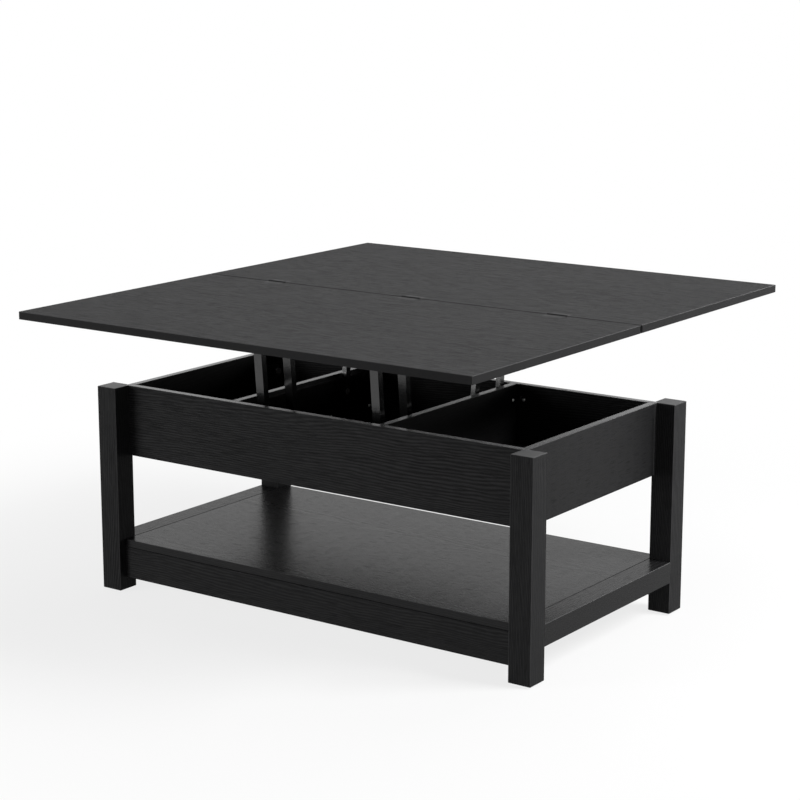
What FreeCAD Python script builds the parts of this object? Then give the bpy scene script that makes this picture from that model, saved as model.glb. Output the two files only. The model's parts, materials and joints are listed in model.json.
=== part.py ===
"""Lift-top coffee table that opens into a dining table: base with a box, lift linkage and two leaves.

Millimetres, +Z up, X along the long front. The origin is on the floor under the middle of the seam.
The table stands lifted, with its back leaf unfolded.
"""
import FreeCAD, Part
import math
import os

V = FreeCAD.Vector
X_AXIS = V(1, 0, 0)

# Base: legs, box and shelf
base_length = 1000.0
base_depth = 545.0
leg_side = 46.0
leg_height = 412.0
board = 15.0
arris = 0.8
glide_height = 3.0
glide_radius = 11.0
apron_height = 140.0
corner_rebate = 8.0
floor_board = 12.0
floor_raise = 8.0
groove_depth = 5.0
groove_play = 0.25
left_divider_x = -195.5
right_divider_x = 148.0
shelf_top = 106.0
shelf_setback = 16.0
rail_height = 63.0
side_rail_height = 41.5

# Leaves
leaf_side_overhang = 6.5
leaf_front_overhang = 1.0
leaf_board = 15.0
top_height = 587.0
seam_gap = 2.0
fold_gap = 0.5
bumper_height = 2.0
bumper_radius = 8.0
rest_gap = 0.3

# Lift linkage
lift_lean = math.radians(5.0)
prop_lean = math.radians(5.0)
prop_fold = math.radians(93.0)
base_plate_board = 3.0
base_plate_end_gap = 16.0
base_plate_height = 82.0
base_plate_below_top = 10.0
base_plate_round = 8.0
arm_depth = 14.0
arm_wall = 1.6
lift_arm_width = 18.0
prop_arm_width = 10.0
link_board = 2.5
link_half = 9.0
link_gap = 0.5
head_room = 1.5
layer_gap = 2.5
pivot_drop = 14.0
lift_pivot_below_top = 35.0
lift_front_inset = 94.5
lift_spacing = 86.0
lift_step = 10.0
prop_back_inset = 79.5
prop_spacing = 89.0
prop_step = 14.0
prop_drop = 12.0
prop_pad_board = 1.5
prop_shelf_front = 50.0
prop_shelf_back = 60.0
pin_radius = 4.0
pin_clearance = 0.05
pin_head_radius = 6.5
pin_head = 1.0
standoff_radius = 6.0
bracket_front = 20.0
bracket_back_share = 0.45
bracket_flange = 22.0
bracket_flange_front = 150.0
tie_radius = 8.0
tie_wall = 1.5
tie_share = 0.8

# Lift springs
spring_tail = 30.0
spring_pin_radius = 3.0
spring_anchor_back = 120.0
spring_anchor_drop = 40.0
spring_wire = 1.8
spring_radius = 5.6
spring_turns = 18
spring_eye_radius = 4.8
spring_collar_radius = 6.5
spring_stem = 3.25
spring_collar = 3.25
coil_points = 4
flat_turn = 1e-9

# Seam hinges
hinge_pitch = 330.0
hinge_length = 42.0
hinge_plate_depth = 18.0
hinge_plate_board = 2.0
hinge_knuckle_radius = 2.0
hinge_pin_radius = 1.0
hinge_play = 0.4
hinge_middle_share = 0.4
hinge_screw_pitch = 21.0
hinge_screw_share = 0.6

# Fasteners
screw_radius = 2.0
screw_head_radius = 3.8
screw_head = 1.6
slot_width = 0.8
screw_length = 11.0
screw_inset = 9.0
plate_screw_count = 4
corner_plate_board = 2.5
corner_plate_reach = 62.0
corner_plate_height = 90.0
bolt_radius = 3.0
bolt_bite = 30.0
nut_radius = 6.5
nut_height = 6.0
nut_sides = 6
bolt_height_shares = (0.28, 0.72)
brace_side = 22.0
brace_width = 16.0
brace_board = 2.0
brace_below_top = 22.0
dowel_radius = 4.0
dowel_length = 30.0
dowel_pitch = 24.0

overrun = 5.0

# Places that follow from the sizes above
half_length = base_length / 2
half_depth = base_depth / 2
leaf_length = base_length + 2 * leaf_side_overhang
leaf_depth = base_depth + 2 * leaf_front_overhang
leaf_bottom = top_height - leaf_board
leg_inner_x = half_length - leg_side
leg_inner_y = half_depth - leg_side
box_x = leg_inner_x + corner_rebate
box_y = leg_inner_y + corner_rebate
apron_bottom = leg_height - apron_height
floor_bottom = apron_bottom + floor_raise
floor_top = floor_bottom + floor_board
shelf_bottom = shelf_top - board
base_plate_length = 2 * (box_y - board - base_plate_end_gap)

# Lift geometry: the arms swing from a lean past upright back to where the leaf rests on the legs
lead_top_z = leaf_bottom - pivot_drop
lead_low_z = leg_height - lift_pivot_below_top
lift_rise = leaf_bottom - (leg_height + bumper_height + rest_gap)
lift_arm = (lead_top_z - lead_low_z) / math.cos(lift_lean)
closed_up = lead_top_z - lift_rise - lead_low_z
closed_back = math.sqrt(lift_arm ** 2 - closed_up ** 2)
lift_travel = lift_lean + math.atan2(closed_back, closed_up)
lift_forward = closed_back + lift_arm * math.sin(lift_lean)
base_y = lift_forward - leaf_depth / 2 - seam_gap / 2

# Lift pivots
lead_low = V(0, base_y - half_depth + lift_front_inset, lead_low_z)
follow_low = lead_low + V(0, lift_spacing, -lift_step)
lift_reach = V(0, -lift_arm * math.sin(lift_lean), lift_arm * math.cos(lift_lean))
lead_high = lead_low + lift_reach
follow_high = follow_low + lift_reach
bracket_end = follow_high.y * (1 - bracket_back_share)

# Prop pivots, whose bars carry the back leaf
prop_high_z = leaf_bottom - prop_drop
prop_low_z = lead_low.z + pivot_drop - prop_pad_board - rest_gap
prop_arm = (prop_high_z - prop_low_z) / math.cos(prop_lean)
prop_reach = V(0, prop_arm * math.sin(prop_lean), prop_arm * math.cos(prop_lean))
rear_low = V(0, base_y + half_depth - prop_back_inset, prop_low_z)
front_low = rear_low - V(0, prop_spacing, prop_step)
rear_high = rear_low + prop_reach
front_high = front_low + prop_reach

# Layers of the linkage, counted inward from each divider's face
prop_layer = base_plate_board + head_room
bar_layer = prop_layer + prop_arm_width + link_gap
lift_layer = bar_layer + link_board + layer_gap
bracket_layer = lift_layer + lift_arm_width + link_gap
linkage_depth = bracket_layer + link_board
divider_faces = {"left": left_divider_x + board / 2, "right": right_divider_x - board / 2}
inward = {"left": 1, "right": -1}
sides = ("left", "right")


def block(x0, x1, y0, y1, z0, z1):
    return Part.makeBox(x1 - x0, y1 - y0, z1 - z0, V(x0, y0, z0))


def panel(x0, x1, y0, y1, z0, z1):
    shape = block(x0, x1, y0, y1, z0, z1)
    return shape.makeChamfer(arris, shape.Edges)


def rod_x(radius, x0, x1, place):
    return Part.makeCylinder(radius, x1 - x0, V(x0, place.y, place.z), X_AXIS)


def rod_z(radius, z0, z1, x, y):
    return Part.makeCylinder(radius, z1 - z0, V(x, y, z0))


def bores(radius, x0, x1, places):
    return [rod_x(radius, x0 - overrun, x1 + overrun, place) for place in places]


def span(side, s0, s1):
    ends = (divider_faces[side] + inward[side] * s0, divider_faces[side] + inward[side] * s1)
    return min(ends), max(ends)


def stadium(p, q, half, x0, x1):
    line = q - p
    turn = math.degrees(math.atan2(-line.y, line.z))
    bar = block(x0, x1, -half, half, 0, line.Length)
    bar.rotate(V(0, 0, 0), X_AXIS, turn)
    bar.translate(V(0, p.y, p.z))
    return bar.fuse([rod_x(half, x0, x1, p), rod_x(half, x0, x1, q)]).removeSplitter()


def save(name, *solids):
    shape = solids[0] if len(solids) == 1 else Part.makeCompound(list(solids))
    shape.exportStep("parts/" + name + ".step")


# Wooden base
def leg(sx, sy):
    x0, x1 = sorted((sx * leg_inner_x, sx * half_length))
    y0, y1 = sorted((base_y + sy * leg_inner_y, base_y + sy * half_depth))
    rx0, rx1 = sorted((sx * (leg_inner_x - overrun), sx * box_x))
    ry0, ry1 = sorted((base_y + sy * (leg_inner_y - overrun), base_y + sy * box_y))
    rebate = block(rx0, rx1, ry0, ry1, apron_bottom, leg_height + overrun)
    shape = panel(x0, x1, y0, y1, glide_height, leg_height).cut(rebate)
    return shape.cut([leg_bolts(sx, sy, pin_clearance)] + side_rail_dowels(sx, pin_clearance))


def glide(sx, sy):
    x = sx * (half_length - leg_side / 2)
    y = base_y + sy * (half_depth - leg_side / 2)
    return rod_z(glide_radius, 0, glide_height, x, y)


def floor_groove(play):
    x = box_x - board + groove_depth + play
    y = box_y - board + groove_depth + play
    return block(-x, x, base_y - y, base_y + y, floor_bottom - play, floor_top + play)


def long_apron(sy):
    y0, y1 = sorted((base_y + sy * (box_y - board), base_y + sy * box_y))
    shape = panel(-box_x, box_x, y0, y1, apron_bottom, leg_height)
    cuts = [floor_groove(groove_play)] + [leg_bolts(sx, sy, pin_clearance) for sx in (-1, 1)]
    for corner in brace_corners():
        cuts += brace_screws(*corner, pin_clearance)
    return shape.cut(cuts)


def side_apron(sx):
    x0, x1 = sorted((sx * (box_x - board), sx * box_x))
    y = box_y - board
    shape = panel(x0, x1, base_y - y, base_y + y, apron_bottom, leg_height)
    return shape.cut([floor_groove(groove_play)] + [leg_bolts(sx, sy, pin_clearance) for sy in (-1, 1)])


def divider(side, x):
    y = box_y - board
    shape = panel(x - board / 2, x + board / 2, base_y - y, base_y + y, floor_top, leg_height)
    cuts = plate_screws(side, pin_clearance)
    for corner in brace_corners():
        cuts += brace_screws(*corner, pin_clearance)
    return shape.cut(cuts)


def shelf():
    y = half_depth - shelf_setback
    return panel(-leg_inner_x, leg_inner_x, base_y - y, base_y + y, shelf_bottom, shelf_top)


def long_rail(sy):
    outer = half_depth - shelf_setback
    y0, y1 = sorted((base_y + sy * (outer - board), base_y + sy * outer))
    return panel(-leg_inner_x, leg_inner_x, y0, y1, shelf_bottom - rail_height, shelf_bottom)


def side_rail(sx):
    x0, x1 = sorted((sx * leg_inner_x, sx * half_length))
    y0, y1 = base_y - leg_inner_y, base_y + leg_inner_y
    rail = panel(x0, x1, y0, y1, shelf_top - side_rail_height, shelf_top)
    return rail.cut(side_rail_dowels(sx, pin_clearance))


def side_rail_dowels(sx, play):
    x = sx * (half_length - leg_side / 2)
    z = shelf_top - side_rail_height / 2
    dowels = []
    for sy in (-1, 1):
        for shift in (-dowel_pitch / 2, dowel_pitch / 2):
            middle = V(x + shift, base_y + sy * leg_inner_y, z)
            start = middle - V(0, sy * (dowel_length / 2 + play), 0)
            length = dowel_length + 2 * play
            dowels.append(Part.makeCylinder(dowel_radius + play, length, start, V(0, sy, 0)))
    return dowels


# Corner plates across the box corners, bolted into the legs
def corner_frame(sx, sy):
    corner = V(sx * (box_x - board), base_y + sy * (box_y - board), leg_height - apron_height / 2)
    return corner, V(sx, sy, 0).normalize()


def corner_plate(sx, sy):
    corner, out = corner_frame(sx, sy)
    across = V(-out.y, out.x, 0)
    back = corner - out * (corner_plate_reach / 2)
    half = corner_plate_reach / 2 - corner_plate_board
    points = [back - across * half, back + across * half]
    points += [p - out * corner_plate_board for p in reversed(points)]
    low = V(0, 0, -corner_plate_height / 2)
    face = Part.Face(Part.makePolygon([p + low for p in points + points[:1]]))
    plate = face.extrude(V(0, 0, corner_plate_height))
    return plate.cut(leg_bolts(sx, sy, pin_clearance))


def bolt_places(sx, sy):
    corner, out = corner_frame(sx, sy)
    low = V(0, 0, -apron_height / 2)
    return [corner + low + V(0, 0, apron_height * share) for share in bolt_height_shares], out


def leg_bolts(sx, sy, play):
    places, out = bolt_places(sx, sy)
    through = board * math.sqrt(2)
    tail = corner_plate_reach / 2 + corner_plate_board + nut_height
    length = tail + through + bolt_bite + play
    rods = [Part.makeCylinder(bolt_radius + play, length, place - out * tail, out) for place in places]
    return Part.makeCompound(rods)


def leg_nuts(sx, sy):
    places, out = bolt_places(sx, sy)
    back = corner_plate_reach / 2 + corner_plate_board + nut_height
    turns = [2 * math.pi * k / nut_sides for k in range(nut_sides + 1)]
    ring = [V(nut_radius * math.cos(turn), nut_radius * math.sin(turn), 0) for turn in turns]
    nuts = []
    for place in places:
        prism = Part.Face(Part.makePolygon(ring)).extrude(V(0, 0, nut_height))
        prism.Placement = FreeCAD.Placement(place - out * back, FreeCAD.Rotation(V(0, 0, 1), out))
        nuts.append(prism.cut(leg_bolts(sx, sy, pin_clearance)))
    return nuts


# Angle braces between the dividers and the long aprons, on the faces away from the linkage
def brace_corners():
    corners = []
    for x, turn in ((left_divider_x - board / 2, -1), (right_divider_x + board / 2, 1)):
        for sy in (-1, 1):
            corners.append((V(x, base_y + sy * (box_y - board), leg_height - brace_below_top), turn, sy))
    return corners


def brace(corner, sx, sy):
    z0 = corner.z - brace_width
    x_far = sorted((corner.x, corner.x + sx * brace_side))
    y_near = sorted((corner.y, corner.y - sy * brace_board))
    y_far = sorted((corner.y, corner.y - sy * brace_side))
    x_near = sorted((corner.x, corner.x + sx * brace_board))
    wing = block(*x_far, *y_near, z0, corner.z)
    shape = wing.fuse(block(*x_near, *y_far, z0, corner.z)).removeSplitter()
    return shape.cut(brace_screws(corner, sx, sy, pin_clearance))


def brace_screws(corner, sx, sy, play):
    z = corner.z - brace_width / 2
    far = brace_side - screw_head_radius - brace_board
    on_apron = V(corner.x + sx * far, corner.y - sy * brace_board, z)
    on_divider = V(corner.x + sx * brace_board, corner.y - sy * far, z)
    return [screw(on_apron, V(0, -sy, 0), play), screw(on_divider, V(sx, 0, 0), play)]


def screw(place, out, play):
    depth = screw_length + play
    shank = Part.makeCylinder(screw_radius + play, depth, place - out * depth, out)
    if play:
        return shank
    head = Part.makeCone(screw_head_radius, screw_head_radius / 2, screw_head, place, out)
    across, aside = screw_head_radius / 2, slot_width / 2
    slot = block(-across, across, -aside, aside, 0, screw_head)
    slot.Placement = FreeCAD.Placement(place + out * (screw_head / 2), FreeCAD.Rotation(V(0, 0, 1), out))
    return shank.fuse(head.cut(slot)).removeSplitter()


# Lift linkage
def base_plate(side):
    x0, x1 = span(side, 0, base_plate_board)
    z1 = leg_height - base_plate_below_top
    y0 = base_y - base_plate_length / 2
    shape = block(x0, x1, y0, y0 + base_plate_length, z1 - base_plate_height, z1)
    corners = [edge for edge in shape.Edges if edge.BoundBox.XLength > base_plate_board / 2]
    shape = shape.makeFillet(base_plate_round, corners)
    holes = bores(pin_radius + pin_clearance, x0, x1, (lead_low, follow_low, front_low, rear_low))
    holes += bores(spring_pin_radius + pin_clearance, x0, x1, [spring_anchor()])
    return shape.cut(holes + plate_screws(side, pin_clearance))


def arm(side, low, high, layer, width, tail):
    x0, x1 = span(side, layer, layer + width)
    line = high - low
    length = line.Length
    half = arm_depth / 2
    foot = V(0, 0, -tail)
    shape = stadium(foot, V(0, 0, length), half, x0, x1)
    pocket = block(x0 + arm_wall, x1 - arm_wall, arm_wall - half, half + overrun, -tail - half - overrun,
                   length + half + overrun)
    holes = bores(pin_radius + pin_clearance, x0, x1, (V(0, 0, 0), V(0, 0, length)))
    if tail:
        holes += bores(spring_pin_radius + pin_clearance, x0, x1, [foot])
    shape = shape.cut([pocket] + holes)
    shape.rotate(V(0, 0, 0), X_AXIS, math.degrees(math.atan2(-line.y, line.z)))
    shape.translate(V(0, low.y, low.z))
    return shape


def headed_pin(side, place, s0, s1, first_head, last_head):
    pieces = [rod_x(pin_radius, *span(side, s0, s1), place)]
    if first_head:
        pieces.append(rod_x(pin_head_radius, *span(side, s0, s0 + pin_head), place))
    if last_head:
        pieces.append(rod_x(pin_head_radius, *span(side, s1 - pin_head, s1), place))
    return pieces[0].fuse(pieces[1:]).removeSplitter()


def lift_low_pin(side, place):
    end = lift_layer + lift_arm_width + link_gap / 2 + pin_head
    pin = headed_pin(side, place, 0, end, False, True)
    standoff = rod_x(standoff_radius, *span(side, base_plate_board, lift_layer - link_gap / 2), place)
    return pin.fuse(standoff).removeSplitter()


def prop_low_pin(side, place):
    return headed_pin(side, place, 0, prop_layer + prop_arm_width + link_gap / 2 + pin_head, False, True)


def lift_high_pin(side, place):
    start = lift_layer - link_gap / 2 - pin_head
    return headed_pin(side, place, start, linkage_depth + pin_head, True, True)


def prop_high_pin(side, place):
    start = prop_layer - link_gap / 2 - pin_head
    return headed_pin(side, place, start, bar_layer + link_board + pin_head, True, True)


def leaf_bracket(side):
    x0, x1 = span(side, bracket_layer, linkage_depth)
    fx0, fx1 = span(side, bracket_layer, linkage_depth + bracket_flange)
    y0 = lead_high.y - bracket_front
    strap = stadium(lead_high, follow_high, link_half, x0, x1)
    web = block(x0, x1, y0, bracket_end, lead_high.z, leaf_bottom)
    front = lead_high.y - bracket_flange_front
    flange = block(fx0, fx1, front, bracket_end, leaf_bottom - link_board, leaf_bottom)
    shape = strap.fuse([web, flange]).removeSplitter()
    holes = bores(pin_radius + pin_clearance, x0, x1, (lead_high, follow_high))
    return shape.cut(holes + bracket_screws(side, pin_clearance))


def bracket_screw_places(side):
    x = divider_faces[side] + inward[side] * (linkage_depth + bracket_flange / 2)
    y0 = lead_high.y - bracket_flange_front + screw_inset
    y1 = bracket_end - screw_inset
    return [V(x, y, leaf_bottom - link_board) for y in (y0, (y0 + y1) / 2, y1)]


def bracket_screws(side, play):
    return [screw(place, V(0, 0, -1), play) for place in bracket_screw_places(side)]


def prop_bar(side):
    x0, x1 = span(side, bar_layer, bar_layer + link_board)
    fx0, fx1 = span(side, prop_layer, bar_layer + link_board)
    y0 = rear_high.y - prop_shelf_front
    y1 = rear_high.y + prop_shelf_back
    z1 = leaf_bottom - rest_gap - prop_pad_board
    strap = stadium(front_high, rear_high, link_half, x0, x1)
    web = block(x0, x1, y0, y1, rear_high.z - link_half, z1)
    flange = block(fx0, fx1, y0, y1, z1 - link_board, z1)
    holes = bores(pin_radius + pin_clearance, x0, x1, (front_high, rear_high))
    return strap.fuse([web, flange]).removeSplitter().cut(holes)


def prop_pad(side):
    x0, x1 = span(side, prop_layer, bar_layer + link_board)
    z1 = leaf_bottom - rest_gap
    y0 = rear_high.y - prop_shelf_front
    return block(x0, x1, y0, rear_high.y + prop_shelf_back, z1 - prop_pad_board, z1)


def tie_tube():
    middle = lead_low + (lead_high - lead_low) * tie_share
    x0 = span("left", 0, lift_layer + lift_arm_width)[1]
    x1 = span("right", 0, lift_layer + lift_arm_width)[0]
    return rod_x(tie_radius, x0, x1, middle).cut(bores(tie_radius - tie_wall, x0, x1, [middle]))


def plate_screws(side, play):
    x = divider_faces[side] + inward[side] * base_plate_board
    z_low = leg_height - base_plate_below_top - base_plate_height + screw_inset
    y0 = base_y - base_plate_length / 2 + screw_inset
    pitch = (base_plate_length - 2 * screw_inset) / (plate_screw_count - 1)
    places = [V(x, y0 + pitch * k, z_low) for k in range(plate_screw_count)]
    places.append(V(x, y0, leg_height - base_plate_below_top - screw_inset))
    return [screw(place, V(inward[side], 0, 0), play) for place in places]


# Lift springs, stretched between a tail pin on each lead arm and a stud on each base plate
def spring_anchor():
    return lead_low + V(0, spring_anchor_back, -spring_anchor_drop)


def spring_tail_place():
    return lead_low - (lead_high - lead_low).normalize() * spring_tail


def spring_x(side):
    return divider_faces[side] + inward[side] * (lift_layer + lift_arm_width / 2)


def spring_stud(side):
    end = lift_layer + lift_arm_width / 2 + spring_eye_radius / 2
    return rod_x(spring_pin_radius, *span(side, 0, end), spring_anchor())


def tail_pin(side):
    x0, x1 = span(side, lift_layer, lift_layer + lift_arm_width)
    return rod_x(spring_pin_radius, x0, x1, spring_tail_place())


def spring_line(side):
    shift = V(spring_x(side), 0, 0)
    start = spring_tail_place() + shift
    end = spring_anchor() + shift
    return start, end, (end - start).normalize()


def spring_eye(place, along):
    half = spring_eye_radius / 2
    x0, x1 = place.x - half, place.x + half
    ring = rod_x(spring_eye_radius, x0, x1, place)
    stem = Part.makeCylinder(half, spring_stem, place, along)
    collar = Part.makeCylinder(spring_collar_radius, spring_collar, place + along * spring_stem, along)
    eye = ring.fuse([stem, collar]).removeSplitter()
    return eye.cut(bores(spring_pin_radius + pin_clearance, x0, x1, [place]))


def half_arc(p, tangent, q):
    chord = q - p
    along = V(chord).normalize()
    aside = tangent - along * tangent.dot(along)
    if aside.Length < flat_turn:
        return Part.LineSegment(p, q).toShape()
    turn = math.atan2(aside.Length, tangent.dot(along))
    middle = (p + q) / 2 + aside.normalize() * (chord.Length / 2 * math.tan(turn / 2))
    return Part.Arc(p, middle, q).toShape()


def biarc(p, t, q, u):
    chord = q - p
    both = chord.dot(t + u)
    bend = 2 * (1 - t.dot(u))
    if bend < flat_turn:
        reach = chord.dot(chord) / (4 * chord.dot(u))
    else:
        reach = (math.sqrt(both ** 2 + bend * chord.dot(chord)) - both) / bend
    joint = (p + q + (t - u) * reach) / 2
    last = half_arc(q, u * -1, joint)
    return [half_arc(p, t, joint), last]


def spring_pitch(side):
    start, end, _ = spring_line(side)
    room = (end - start).Length - 2 * (spring_stem + spring_collar)
    return (room - 2 * 2 * spring_wire) / spring_turns


def spring_points(side):
    start, _, along = spring_line(side)
    third = along.cross(X_AXIS)
    pitch = spring_pitch(side)
    slope = pitch / (2 * math.pi * spring_radius)
    first = 2 * spring_wire

    def on_coil(turn):
        angle = 2 * math.pi * turn
        place = X_AXIS * (spring_radius * math.cos(angle)) + third * (spring_radius * math.sin(angle))
        tangent = third * math.cos(angle) - X_AXIS * math.sin(angle) + along * slope
        up = spring_stem + spring_collar + first + pitch * turn
        return start + along * up + place, tangent.normalize()

    points = [on_coil(k / coil_points) for k in range(coil_points * spring_turns + 1)]
    end_reach = along * (first - pin_clearance) + third * spring_wire
    lead_in = points[0][0] - end_reach
    lead_out = points[-1][0] + end_reach
    head = [(lead_in, along), (lead_in + along * spring_wire, along)]
    tail = [(lead_out - along * spring_wire, along), (lead_out, along)]
    return head + points + tail


def spring(side):
    points = spring_points(side)
    edges = [Part.LineSegment(points[0][0], points[1][0]).toShape()]
    for (p, t), (q, u) in zip(points[1:-2], points[2:-1]):
        edges += biarc(p, t, q, u)
    edges.append(Part.LineSegment(points[-2][0], points[-1][0]).toShape())
    spine = Part.Wire(Part.__sortEdges__(edges))
    profile = Part.Wire(Part.makeCircle(spring_wire / 2, points[0][0], points[0][1]))
    return spine.makePipeShell([profile], True)


# Leaves and their seam hinges
def hinge_axis_z():
    return top_height + fold_gap / 2


def hinge_xs():
    return [-hinge_pitch, 0, hinge_pitch]


def leaf(sy):
    y0, y1 = sorted((sy * seam_gap / 2, sy * (seam_gap / 2 + leaf_depth)))
    shape = panel(-leaf_length / 2, leaf_length / 2, y0, y1, leaf_bottom, top_height)
    cuts = []
    for x in hinge_xs():
        half = hinge_length / 2
        y0, y1 = sorted((-sy * overrun, sy * (hinge_knuckle_radius + hinge_plate_depth)))
        cuts.append(block(x - half, x + half, y0, y1, top_height - hinge_plate_board, top_height + overrun))
        room = hinge_knuckle_radius + hinge_play
        half = hinge_length / 2 + hinge_play
        y0, y1 = sorted((-sy * overrun, sy * room))
        cuts.append(block(x - half, x + half, y0, y1, hinge_axis_z() - room, top_height + overrun))
    cuts += hinge_screws(sy, pin_clearance)
    if sy < 0:
        for side in sides:
            cuts += bracket_screws(side, pin_clearance)
    return shape.cut(cuts)


def knuckle_spans(sy):
    half = hinge_length / 2
    middle = half * hinge_middle_share
    if sy > 0:
        return [(-middle, middle)]
    return [(-half, -middle - hinge_play), (middle + hinge_play, half)]


def hinge_plate(x, sy):
    axis = V(0, 0, hinge_axis_z())
    half = hinge_length / 2
    clear = hinge_knuckle_radius + hinge_play
    y0, y1 = sorted((sy * clear, sy * (hinge_knuckle_radius + hinge_plate_depth)))
    shape = block(x - half, x + half, y0, y1, top_height - hinge_plate_board, top_height)
    for x0, x1 in knuckle_spans(sy):
        ty0, ty1 = sorted((0, sy * (clear + hinge_play)))
        tongue = block(x + x0, x + x1, ty0, ty1, top_height - hinge_plate_board, top_height)
        shape = shape.fuse([tongue, rod_x(hinge_knuckle_radius, x + x0, x + x1, axis)])
    shape = shape.removeSplitter()
    holes = bores(hinge_pin_radius + pin_clearance, x - half, x + half, [axis])
    return shape.cut(holes + hinge_screws(sy, pin_clearance))


def hinge_pin(x):
    return rod_x(hinge_pin_radius, x - hinge_length / 2, x + hinge_length / 2, V(0, 0, hinge_axis_z()))


def hinge_screws(sy, play):
    screws = []
    y = sy * (hinge_knuckle_radius + hinge_plate_depth * hinge_screw_share)
    z = top_height - hinge_plate_board
    for x in hinge_xs():
        for shift in (-hinge_screw_pitch / 2, hinge_screw_pitch / 2):
            head = Part.makeCone(screw_radius, screw_head_radius, hinge_plate_board, V(x + shift, y, z))
            shank = rod_z(screw_radius + play, top_height - screw_length, z, x + shift, y)
            screws.append(head.fuse(shank).removeSplitter())
    return screws


def bumper(sx, sy):
    x = sx * (half_length - leg_side / 2)
    y = base_y - lift_forward + sy * (half_depth - leg_side / 2)
    return rod_z(bumper_radius, leaf_bottom - bumper_height, leaf_bottom, x, y)


def build():
    os.makedirs("parts", exist_ok=True)
    corners = [(sx, sy) for sy in (-1, 1) for sx in (-1, 1)]
    words = {-1: ("left", "front"), 1: ("right", "back")}
    for sx, sy in corners:
        place = words[sy][1] + "_" + words[sx][0]
        save("leg_" + place, leg(sx, sy))
    save("corner_plates", *[corner_plate(*c) for c in corners])
    save("foot_glides", *[glide(*c) for c in corners])
    save("leg_bolts", *[rod for c in corners for rod in leg_bolts(*c, 0).Solids])
    save("leg_nuts", *[nut for c in corners for nut in leg_nuts(*c)])
    for sign in (-1, 1):
        save(words[sign][1] + "_apron", long_apron(sign))
        save(words[sign][0] + "_apron", side_apron(sign))
        save(words[sign][1] + "_rail", long_rail(sign))
        save(words[sign][0] + "_side_rail", side_rail(sign))
    save("rail_dowels", *[d for k in (-1, 1) for d in side_rail_dowels(k, 0)])
    save("compartment_floor", floor_groove(0))
    save("left_divider", divider("left", left_divider_x))
    save("right_divider", divider("right", right_divider_x))
    save("shelf", shelf())
    save("divider_braces", *[brace(*c) for c in brace_corners()])
    save("brace_screws", *[s for c in brace_corners() for s in brace_screws(*c, 0)])
    for side in sides:
        save("base_plate_" + side, base_plate(side))
        save("lead_arm_" + side, arm(side, lead_low, lead_high, lift_layer, lift_arm_width, spring_tail))
        save("follow_arm_" + side, arm(side, follow_low, follow_high, lift_layer, lift_arm_width, 0))
        save("prop_arm_front_" + side, arm(side, front_low, front_high, prop_layer, prop_arm_width, 0))
        save("prop_arm_rear_" + side, arm(side, rear_low, rear_high, prop_layer, prop_arm_width, 0))
        save("leaf_bracket_" + side, leaf_bracket(side))
        save("prop_bar_" + side, prop_bar(side))
        save("lift_spring_" + side, spring(side))
    save("plate_screws", *[s for side in sides for s in plate_screws(side, 0)])
    save("base_pivot_pins", *[lift_low_pin(s, p) for s in sides for p in (lead_low, follow_low)],
         *[prop_low_pin(s, p) for s in sides for p in (front_low, rear_low)])
    save("leaf_pivot_pins", *[lift_high_pin(s, p) for s in sides for p in (lead_high, follow_high)])
    save("prop_pivot_pins", *[prop_high_pin(s, p) for s in sides for p in (front_high, rear_high)])
    save("prop_pads", *[prop_pad(s) for s in sides])
    save("arm_tie_tube", tie_tube())
    save("spring_studs", *[spring_stud(s) for s in sides])
    save("spring_tail_pins", *[tail_pin(s) for s in sides])
    for name, pick in (("spring_tail_eyes", 0), ("spring_stud_eyes", 1)):
        eyes = []
        for side in sides:
            ends = spring_line(side)
            eyes.append(spring_eye(ends[pick], ends[2] * (1 - 2 * pick)))
        save(name, *eyes)
    save("bracket_screws", *[s for side in sides for s in bracket_screws(side, 0)])
    save("front_leaf", leaf(-1))
    save("back_leaf", leaf(1))
    save("leaf_bumpers", *[bumper(*c) for c in corners])
    save("hinge_plates_front", *[hinge_plate(x, -1) for x in hinge_xs()])
    save("hinge_plates_back", *[hinge_plate(x, 1) for x in hinge_xs()])
    save("hinge_pins", *[hinge_pin(x) for x in hinge_xs()])
    save("hinge_screws_front", *hinge_screws(-1, 0))
    save("hinge_screws_back", *hinge_screws(1, 0))
    print("lift arm", round(lift_arm, 2), "lift travel", round(math.degrees(lift_travel), 3))
    bar_drop = prop_arm * (math.cos(prop_lean) - math.cos(prop_lean - prop_fold))
    print("prop arm", round(prop_arm, 2), "bar drops", round(bar_drop, 2))
    print("leaf drops", round(lift_rise, 2))
    print("spring coil gap", round(spring_pitch("left") - spring_wire, 3))


build()
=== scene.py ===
import json
import math
import bpy
import bmesh
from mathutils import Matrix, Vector


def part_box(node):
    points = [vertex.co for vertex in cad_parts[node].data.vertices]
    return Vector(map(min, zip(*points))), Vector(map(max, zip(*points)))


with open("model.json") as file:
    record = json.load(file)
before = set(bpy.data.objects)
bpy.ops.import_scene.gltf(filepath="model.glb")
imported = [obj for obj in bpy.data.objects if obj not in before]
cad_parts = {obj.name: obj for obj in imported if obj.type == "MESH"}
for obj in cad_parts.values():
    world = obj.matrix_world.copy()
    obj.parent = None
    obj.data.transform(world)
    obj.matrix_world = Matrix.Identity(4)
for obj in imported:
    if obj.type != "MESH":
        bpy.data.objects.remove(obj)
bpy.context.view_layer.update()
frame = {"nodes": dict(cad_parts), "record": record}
nodes = frame["nodes"]
print("table loaded:", len(nodes), "nodes")


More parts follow.
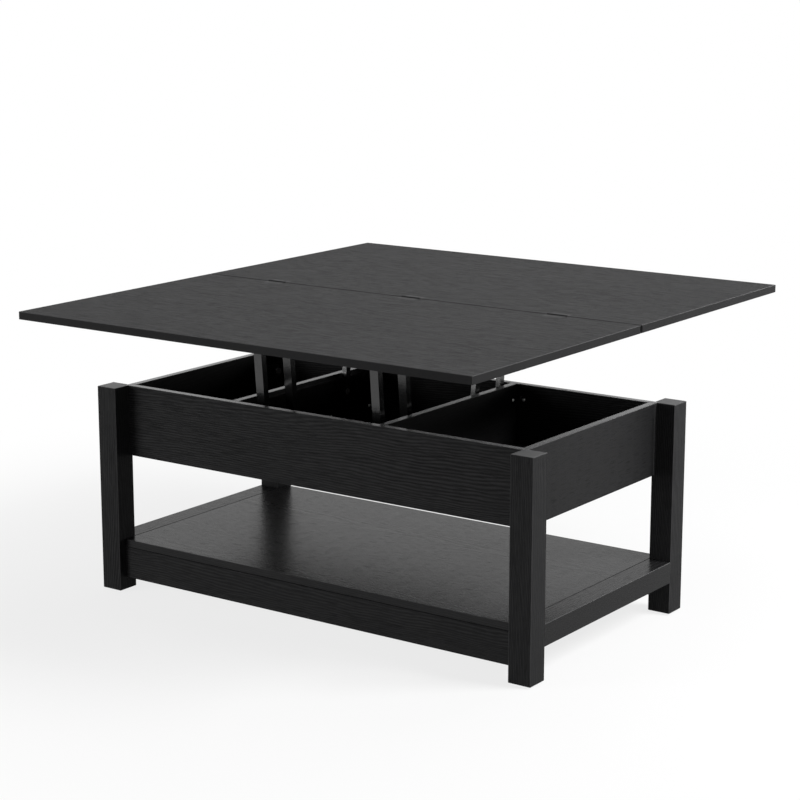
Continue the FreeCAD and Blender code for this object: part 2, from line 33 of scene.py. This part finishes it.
class Feed:  # a node's output that can be used in sums
    def __init__(self, finish, socket):
        self.finish, self.socket = finish, socket

    def out(self, name):  # another output of the same node
        return Feed(self.finish, self.socket.node.outputs[name])

    def worked(self, operation, first, second):
        return self.finish.node("ShaderNodeMath", {"operation": operation}, {0: first, 1: second})

    def __add__(self, other):
        return self.worked("ADD", self, other)

    def __sub__(self, other):
        return self.worked("SUBTRACT", self, other)

    def __rsub__(self, other):
        return self.worked("SUBTRACT", other, self)

    def __mul__(self, other):
        return self.worked("MULTIPLY", self, other)

    def __pow__(self, other):
        return self.worked("POWER", self, other)

    __radd__ = __add__
    __rmul__ = __mul__


class Finish:  # one material, or the world, and the nodes in it
    def __init__(self, name, owner=None):
        self.owner = owner or bpy.data.materials.new(name)
        self.owner.use_nodes = True
        self.tree = self.owner.node_tree

    def node(self, kind, settings=None, sockets=None):
        made = self.tree.nodes.new(kind)
        for name, value in (settings or {}).items():
            setattr(made, name, value)
        for name, value in (sockets or {}).items():
            self.join(made.inputs[name], value)
        return Feed(self, made.outputs[0])

    def join(self, socket, value):
        if isinstance(value, Feed):
            self.tree.links.new(value.socket, socket)
        else:
            socket.default_value = value

    def surface(self, sockets):
        shader = self.tree.nodes["Principled BSDF"]
        for name, value in sockets.items():
            self.join(shader.inputs[name], value)
        return self.owner

    def noise(self, stretch, detail):  # on object coordinates, stretched along each axis
        spot = self.node("ShaderNodeTexCoord").out("Object")
        spot = self.node("ShaderNodeVectorMath", {"operation": "MULTIPLY"}, {0: spot, 1: stretch})
        return self.node("ShaderNodeTexNoise", {}, {"Vector": spot, "Scale": 1.0, "Detail": detail})

    def evenNoise(self, scale, detail):
        return self.noise((scale, scale, scale), detail)

    def step(self, value, low, high):
        return self.node("ShaderNodeMapRange", {"interpolation_type": "SMOOTHSTEP"},
                         {"Value": value, "From Min": low, "From Max": high})

    def blend(self, share, first, second):  # two colours
        made = self.node("ShaderNodeMix", {"data_type": "RGBA"}, {0: share, 6: first, 7: second})
        return made.out(2)

    def bump(self, height, strength, depth):
        return self.node("ShaderNodeBump", {}, {"Strength": strength, "Distance": depth, "Height": height})

    def axes(self, coordinate):  # the three numbers of a coordinate
        spot = self.node("ShaderNodeTexCoord").out(coordinate)
        parts = self.node("ShaderNodeSeparateXYZ", {}, {0: spot})
        return [parts.out(axis) for axis in "XYZ"]

    def size(self, value):
        return self.node("ShaderNodeMath", {"operation": "ABSOLUTE"}, {0: value})

    def most(self, first, second):
        return self.node("ShaderNodeMath", {"operation": "MAXIMUM"}, {0: first, 1: second})

    def least(self, first, second):
        return self.node("ShaderNodeMath", {"operation": "MINIMUM"}, {0: first, 1: second})

    def seen(self):  # 1 where it is looked at, also by way of gloss and glass
        rays = self.node("ShaderNodeLightPath")
        total = rays.out("Is Camera Ray") + rays.out("Is Glossy Ray") + rays.out("Is Transmission Ray")
        return self.least(total, 1.0)


# Black oak boards, with the grain pressed into the finish
oak = {
    "ringPitch": 0.0042,  # metres between pressed lines
    "archWidth": 0.17,  # half the width of one flame of grain
    "archShift": 0.55,  # share of that by which the flame stands off the board's middle
    "pithDepth": 0.04,  # how far the rings' centre lies below the board's middle
    "taper": 0.03,  # growth of the rings along the board
    "wander": 0.03,  # metres by which the pith sways
    "ripple": 0.8,  # share of the pitch by which a line wavers
    "drift": 0.12,  # metres by which flames are spread unevenly
    "dark": (0.0035, 0.0035, 0.0038, 1),
    "pale": (0.0205, 0.0205, 0.021, 1),
    "sideSheenAndShade": (0.0115, 0.0115, 0.0119, 1),  # flat tone on the side faces, standing in for the sheen that hides the grain there
    "sideSheenAndShadeShare": 0.8,
    "poreTone": (0.003, 0.003, 0.0032, 1),
    "roughness": 0.5,
    "sheen": 0.05,  # specular level
    "emboss": 0.6,
    "embossDepth": 0.0005,
    "arrisTone": (0.036, 0.036, 0.037, 1),  # painted highlight: paler along the eased edges, where they catch light
    "arrisGloss": 0.35,
    "bandAndHighlightTone": (0.064, 0.064, 0.065, 1),  # banded edges, clouded between two tones; these pale oak tones are a painted highlight
    "bandAndHighlightShade": (0.034, 0.034, 0.0345, 1),
    "bandGloss": 0.95,
    "glossRough": 0.27,  # roughness of that gloss
    "jointDepth": 0.75,  # how dark the line is where two boards meet
}
leafTop = dict(
    oak, bandAndHighlightTone=(0.0095, 0.0095, 0.0098, 1), bandAndHighlightShade=(0.016, 0.016, 0.0164, 1),
    bandGloss=0.0, jointDepth=0.5,
)
calm = dict(
    oak, dark=(0.0085, 0.0085, 0.0088, 1), pale=(0.0122, 0.0122, 0.0127, 1), roughness=0.4, emboss=0.15,
)
polished = dict(calm, roughness=0.22, sheen=0.1, arrisGloss=0.2)
# the side rails' darker flat tone is painted shade on their side faces
sideRail = dict(polished, sheen=0.075, sideSheenAndShade=(0.0055, 0.0055, 0.0057, 1), sideSheenAndShadeShare=0.9)
legLook = dict(oak, sideSheenAndShadeShare=0.5, glossRough=0.5)
longRail = dict(
    oak, ringPitch=0.0038, dark=(0.0058, 0.0058, 0.0061, 1), pale=(0.0215, 0.0215, 0.022, 1), emboss=0.5,
)
joint = {  # dark line where two boards meet
    "width": 0.0016,
    "edgeWidth": 0.004,  # across banded edges
    "core": 0.3,  # share of the width that is fully dark
    "roughness": 0.5,
    "tone": (0, 0, 0, 1),
}
figure = {  # each noise: stretch along the grain, stretch across it, detail
    "sway": (3.2, 11.0, 3.0),
    "ripple": (16.0, 60.0, 2.0),
    "drift": (0.4, 5.0, 1.0),
    "fleck": (34.0, 1500.0, 1.0),
    "cloud": (4.0, 9.0, 2.0),
}
mask = {  # where each mask starts and where it is full
    "pores": (0.52, 0.66),
    "arris": (0.75, 0.95),  # largest part of the normal
    "notUnder": (-0.6, -0.2),  # upward part of the normal; eased edges facing down get no painted highlight
    "flat": (0.85, 0.97),  # normal along one axis
}
relief = {"waveHeight": 0.6, "poreHeight": 0.5, "waveRough": 0.06, "poreRough": 0.14, "bandRough": 0.7}
toneShare = {"wave": 0.75, "cloud": 0.25, "pores": 0.6, "arris": 0.8}


def grainNoise(finish, kind, along):
    lengthwise, crosswise, detail = figure[kind]
    return finish.noise(tuple(lengthwise if axis == along else crosswise for axis in range(3)), detail)


def ringLines(finish, spots, middle, along, across, look):  # rings round a pith, cut by the board's faces
    depth = 3 - along - across  # the third axis
    clear = 10 * look["archWidth"]  # keeps the fold's input above zero
    sway = grainNoise(finish, "sway", along) - 0.5
    ripple = grainNoise(finish, "ripple", along) - 0.5
    drift = grainNoise(finish, "drift", along) - 0.5
    aside = spots[across] - (middle[across] + look["archShift"] * look["archWidth"])
    aside = aside + sway * look["wander"] + drift * look["drift"] + clear
    fold = finish.node("ShaderNodeMath", {"operation": "PINGPONG"}, {0: aside, 1: look["archWidth"]})
    deep = spots[depth] - (middle[depth] - look["pithDepth"])
    radius = (fold ** 2 + deep ** 2) ** 0.5
    ring = radius + spots[along] * look["taper"] + ripple * (look["ringPitch"] * look["ripple"])
    turn = ring * (2 * math.pi / look["ringPitch"])
    return finish.node("ShaderNodeMath", {"operation": "SINE"}, {0: turn}) * 0.5 + 0.5


def oakFinish(name, along, across, node, bandAxes, joints, look):
    finish = Finish(name)
    low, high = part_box(node)
    spots = finish.axes("Object")
    wave = ringLines(finish, spots, (low + high) / 2, along, across, look)
    pores = finish.step(grainNoise(finish, "fleck", along), *mask["pores"])
    cloud = grainNoise(finish, "cloud", along)

    normal = finish.axes("Normal")
    facing = [finish.size(part) for part in normal]
    # painted highlight: eased edges, except those facing down, are made paler where they catch light
    arris = 1 - finish.step(finish.most(finish.most(facing[0], facing[1]), facing[2]), *mask["arris"])
    arris = arris * finish.step(normal[2], *mask["notUnder"])
    edges = sum(finish.step(facing[axis], *mask["flat"]) for axis in bandAxes)
    # flat tone on the side faces stands in for sheen hiding the grain; where it is darker, it is painted
    # shade
    sheenShadeMask = finish.step(facing[across], *mask["flat"]) * look["sideSheenAndShadeShare"]

    grain = wave * toneShare["wave"] + cloud * toneShare["cloud"]
    tone = finish.blend(grain, look["dark"], look["pale"])
    tone = finish.blend(pores * toneShare["pores"], tone, look["poreTone"])
    tone = finish.blend(sheenShadeMask, tone, look["sideSheenAndShade"])
    rough = look["roughness"] + wave * relief["waveRough"] + pores * relief["poreRough"]
    height = (wave * relief["waveHeight"] - pores * relief["poreHeight"]) * (1 - sheenShadeMask)
    if bandAxes:
        # painted highlight: the banded edges of box boards and legs are made paler; the top's banded edges
        # keep dark tones
        tone = finish.blend(edges, tone, finish.blend(cloud, look["bandAndHighlightShade"], look["bandAndHighlightTone"]))
        rough = rough + edges * (relief["bandRough"] - rough)
        height = height * (1 - edges)
    # painted highlight along the eased edges
    tone = finish.blend(arris * toneShare["arris"], tone, look["arrisTone"])
    for axis, end in joints:
        apart = finish.size(spots[axis] - (low, high)[end][axis])
        apart = apart * (1 - edges * (1 - joint["width"] / joint["edgeWidth"]))
        near = 1 - finish.step(apart, joint["core"] * joint["width"], joint["width"])
        darkness = near * (look["jointDepth"] + edges * (1 - look["jointDepth"]))
        tone = finish.blend(darkness, tone, joint["tone"])
        rough = rough + near * joint["roughness"]
        arris = arris * (1 - near)
    return finish.surface({
        "Base Color": tone,
        "Roughness": rough,
        "Specular IOR Level": look["sheen"],
        "Coat Weight": edges * look["bandGloss"] + arris * look["arrisGloss"],
        "Coat Roughness": look["glossRough"],
        "Normal": finish.bump(height, look["emboss"], look["embossDepth"]),
    })


# Arms, plates and other painted steel
steel = {
    "tone": (0.004, 0.004, 0.0042, 1), "worn": (0.009, 0.009, 0.0093, 1), "roughness": 0.15, "sheen": 0.6,
    "pebble": (900.0, 2.0), "pebbleRough": 0.06,  # noise's scale and detail, share in the roughness
    "rub": (26.0, 4.0), "rubFrom": 0.5, "rubTo": 0.8, "rubRough": 0.05,
    "emboss": 0.08, "embossDepth": 0.0002,
}


def paintedSteel(name, look):
    finish = Finish(name)
    pebble = finish.evenNoise(*look["pebble"])
    rub = finish.step(finish.evenNoise(*look["rub"]), look["rubFrom"], look["rubTo"])
    return finish.surface({
        "Base Color": finish.blend(rub, look["tone"], look["worn"]),
        "Roughness": look["roughness"] + pebble * look["pebbleRough"] + rub * look["rubRough"],
        "Specular IOR Level": look["sheen"],
        "Normal": finish.bump(pebble, look["emboss"], look["embossDepth"]),
    })


# Screws, pins and springs
zinc = {
    "bright": (0.62, 0.62, 0.6, 1), "dull": (0.44, 0.44, 0.43, 1), "roughness": 0.28,
    "cloud": (70.0, 4.0), "cloudRough": 0.1,
    "brush": ((2400.0, 180.0, 2400.0), 2.0), "brushRough": 0.06,  # stretch and detail
    "emboss": 0.08, "embossDepth": 0.0001,
}
oxide = dict(zinc, bright=(0.08, 0.08, 0.081, 1), dull=(0.045, 0.045, 0.046, 1), roughness=0.36)
wire = dict(zinc, bright=(0.34, 0.34, 0.345, 1), dull=(0.2, 0.2, 0.205, 1), roughness=0.3)


def platedMetal(name, look):
    finish = Finish(name)
    cloud = finish.evenNoise(*look["cloud"])
    brush = finish.noise(*look["brush"])
    return finish.surface({
        "Base Color": finish.blend(cloud, look["dull"], look["bright"]),
        "Metallic": 1.0,
        "Roughness": look["roughness"] + cloud * look["cloudRough"] + brush * look["brushRough"],
        "Normal": finish.bump(brush, look["emboss"], look["embossDepth"]),
    })


# Rubber, plastic and the matt paint of the seam hinges
rubber = {
    "tone": (0.016, 0.016, 0.016, 1), "dust": (0.034, 0.033, 0.032, 1), "roughness": 0.78, "sheen": 0.5,
    "cloud": (40.0, 5.0), "dustFrom": 0.45, "dustTo": 0.75, "dustRough": 0.1,
    "pebble": (1400.0, 1.0), "emboss": 0.2, "embossDepth": 0.0002,
}
glide = dict(rubber, tone=(0.022, 0.022, 0.023, 1), dust=(0.04, 0.04, 0.04, 1), roughness=0.55)
matt = dict(
    rubber, tone=(0.017, 0.017, 0.0175, 1), dust=(0.026, 0.026, 0.0265, 1), roughness=0.5, sheen=0.07,
)


def mouldedPart(name, look):
    finish = Finish(name)
    cloud = finish.step(finish.evenNoise(*look["cloud"]), look["dustFrom"], look["dustTo"])
    pebble = finish.evenNoise(*look["pebble"])
    return finish.surface({
        "Base Color": finish.blend(cloud, look["tone"], look["dust"]),
        "Roughness": look["roughness"] + cloud * look["dustRough"],
        "Specular IOR Level": look["sheen"],
        "Normal": finish.bump(pebble, look["emboss"], look["embossDepth"]),
    })


# Dowels
beech = {
    "pale": (0.56, 0.41, 0.26, 1), "dark": (0.44, 0.3, 0.18, 1), "roughness": 0.6,
    "streak": ((900.0, 30.0, 900.0), 3.0), "streakRough": 0.1, "emboss": 0.2, "embossDepth": 0.0003,
}


def dowelWood(name, look):
    finish = Finish(name)
    streak = finish.noise(*look["streak"])
    return finish.surface({
        "Base Color": finish.blend(streak, look["dark"], look["pale"]),
        "Roughness": look["roughness"] + streak * look["streakRough"],
        "Normal": finish.bump(streak, look["emboss"], look["embossDepth"]),
    })


# Floor of the box
smooth = {
    "tone": (0.02, 0.02, 0.021, 1), "pale": (0.03, 0.03, 0.031, 1), "roughness": 0.42, "sheen": 0.3,
    "cloud": (9.0, 4.0), "speck": (700.0, 2.0), "speckRough": 0.1, "emboss": 0.12, "embossDepth": 0.0002,
}


def coatedBoard(name, look):
    finish = Finish(name)
    cloud = finish.evenNoise(*look["cloud"])
    speck = finish.evenNoise(*look["speck"])
    return finish.surface({
        "Base Color": finish.blend(cloud, look["tone"], look["pale"]),
        "Roughness": look["roughness"] + speck * look["speckRough"],
        "Specular IOR Level": look["sheen"],
        "Normal": finish.bump(speck, look["emboss"], look["embossDepth"]),
    })


def dress(node, material):
    slots = nodes[node].data.materials
    slots.clear()
    slots.append(material)


# Each board: direction of the grain, direction across it, axes of its banded edges,
# its dark joints (axis, and 0 or 1 for the low or high end) and its look
x, y, z = 0, 1, 2
boards = {
    "front_leaf": (x, y, (x, y), ((y, 1),), leafTop), "back_leaf": (x, y, (x, y), ((y, 0),), leafTop),
    "leg_front_left": (z, x, (z,), (), legLook), "leg_front_right": (z, x, (z,), (), legLook),
    "leg_back_left": (z, x, (z,), (), legLook), "leg_back_right": (z, x, (z,), (), legLook),
    "front_apron": (x, z, (z,), (), oak), "back_apron": (x, z, (z,), (), oak),
    "left_apron": (y, z, (z,), (), calm), "right_apron": (y, z, (z,), (), calm),
    "left_divider": (y, z, (z,), (), calm), "right_divider": (y, z, (z,), (), calm),
    "front_rail": (x, z, (), ((z, 1),), longRail), "back_rail": (x, z, (), ((z, 1),), longRail),
    "left_side_rail": (y, x, (), ((x, 1),), sideRail), "right_side_rail": (y, x, (), ((x, 0),), sideRail),
    "shelf": (x, y, (), ((x, 0), (x, 1)), polished),
}
for node, (along, across, bandAxes, joints, look) in boards.items():
    dress(node, oakFinish("blackOak." + node, along, across, node, bandAxes, joints, look))
print("boards finished:", len(boards))

finishes = {  # by the record's material slots
    "black_steel": paintedSteel("glossBlackSteel", steel),
    "zinc_plate": platedMetal("zincPlate", zinc),
    "spring_steel": platedMetal("springWire", wire),
    "black_oxide": platedMetal("blackOxide", oxide),
    "black_rubber": mouldedPart("bumperRubber", rubber),
    "glide_plastic": mouldedPart("glidePlastic", glide),
    "dowel_beech": dowelWood("dowelBeech", beech),
    "black_panel": coatedBoard("boxFloorBoard", smooth),
}
hingePaint = mouldedPart("mattBlackSteel", matt)
for part in frame["record"]["subparts"]:
    if part["node"].startswith("hinge"):
        dress(part["node"], hingePaint)
    elif part["node"] not in boards:
        dress(part["node"], finishes[part["material_slot"]])
print("metal and small parts finished")

# Pale floor that fades into the white surround and keeps the table's shadow
floor = {
    "radius": 7.0, "corners": 96,
    "tone": (0.6, 0.6, 0.6, 1), "roughness": 0.9, "sheen": 0.1,
    "fadeFrom": 0.7, "fadeTo": 1.7,  # metres from the middle
    "lift": 0.8,  # share of white under the table
}
white = (1, 1, 1, 1)
ring = bmesh.new()
bmesh.ops.create_circle(ring, cap_ends=True, segments=floor["corners"], radius=floor["radius"])
floorMesh = bpy.data.meshes.new("floor")
ring.to_mesh(floorMesh)
ring.free()
floorPlate = bpy.data.objects.new("floor", floorMesh)
bpy.context.scene.collection.objects.link(floorPlate)
floorFinish = Finish("paleFloor")
spot = floorFinish.node("ShaderNodeTexCoord").out("Object")
reach = floorFinish.node("ShaderNodeVectorMath", {"operation": "LENGTH"}, {0: spot}).out("Value")
away = floorFinish.step(reach, floor["fadeFrom"], floor["fadeTo"])
whiteShare = floorFinish.seen() * (floor["lift"] + away * (1 - floor["lift"]))
floorFinish.surface({
    "Base Color": floor["tone"], "Roughness": floor["roughness"], "Specular IOR Level": floor["sheen"],
})
matte = Feed(floorFinish, floorFinish.tree.nodes["Principled BSDF"].outputs[0])
glow = floorFinish.node("ShaderNodeEmission", {}, {"Color": white, "Strength": 1.0})
mixed = floorFinish.node("ShaderNodeMixShader", {}, {0: whiteShare, 1: matte, 2: glow})
floorFinish.join(floorFinish.tree.nodes["Material Output"].inputs["Surface"], mixed)
floorMesh.materials.append(floorFinish.owner)

surround = {"fill": (0.06, 0.06, 0.06, 1)}  # light from all round
world = bpy.data.worlds.new("studio")
bpy.context.scene.world = world
sky = Finish("studio", world)
tint = sky.blend(sky.seen(), surround["fill"], white)
sky.join(sky.tree.nodes["Background"].inputs["Color"], tint)

lampAim = Vector((0, -0.1, 0.35))
lamps = {
    "frontLeft": {"place": (-2.4, -3.5, 0.75), "size": 1.8, "watts": 109},
    "rightHigh": {"place": (2.9, 0.9, 2.9), "size": 1.6, "watts": 275},
    "topSoft": {"place": (-0.6, 0.3, 3.2), "size": 2.6, "watts": 30},
    "behind": {"place": (0.9, 3.9, 0.8), "size": 1.6, "watts": 60},
}
for name, look in lamps.items():
    light = bpy.data.lights.new(name, "AREA")
    light.energy, light.size = look["watts"], look["size"]
    lamp = bpy.data.objects.new(name, light)
    lamp.location = look["place"]
    lamp.rotation_euler = (lampAim - lamp.location).to_track_quat("-Z", "Y").to_euler()
    bpy.context.scene.collection.objects.link(lamp)
print("floor and lamps set")

camera = {
    "place": (2.3383, -3.3184, 1.2814), "turn": 0.6190, "pitch": 0.2174,  # radians
    "focal": 2131.8, "frame": 800,  # pixels
    "sensor": 36.0,
}
eye = bpy.data.cameras.new("camera")
eye.sensor_width = camera["sensor"]
eye.lens = camera["focal"] / camera["frame"] * camera["sensor"]
stand = bpy.data.objects.new("camera", eye)
stand.location = camera["place"]
stand.rotation_euler = (math.pi / 2 - camera["pitch"], 0, camera["turn"])
bpy.context.scene.collection.objects.link(stand)
bpy.context.scene.camera = stand
bpy.context.scene.view_settings.view_transform = "Standard"
print("camera set")
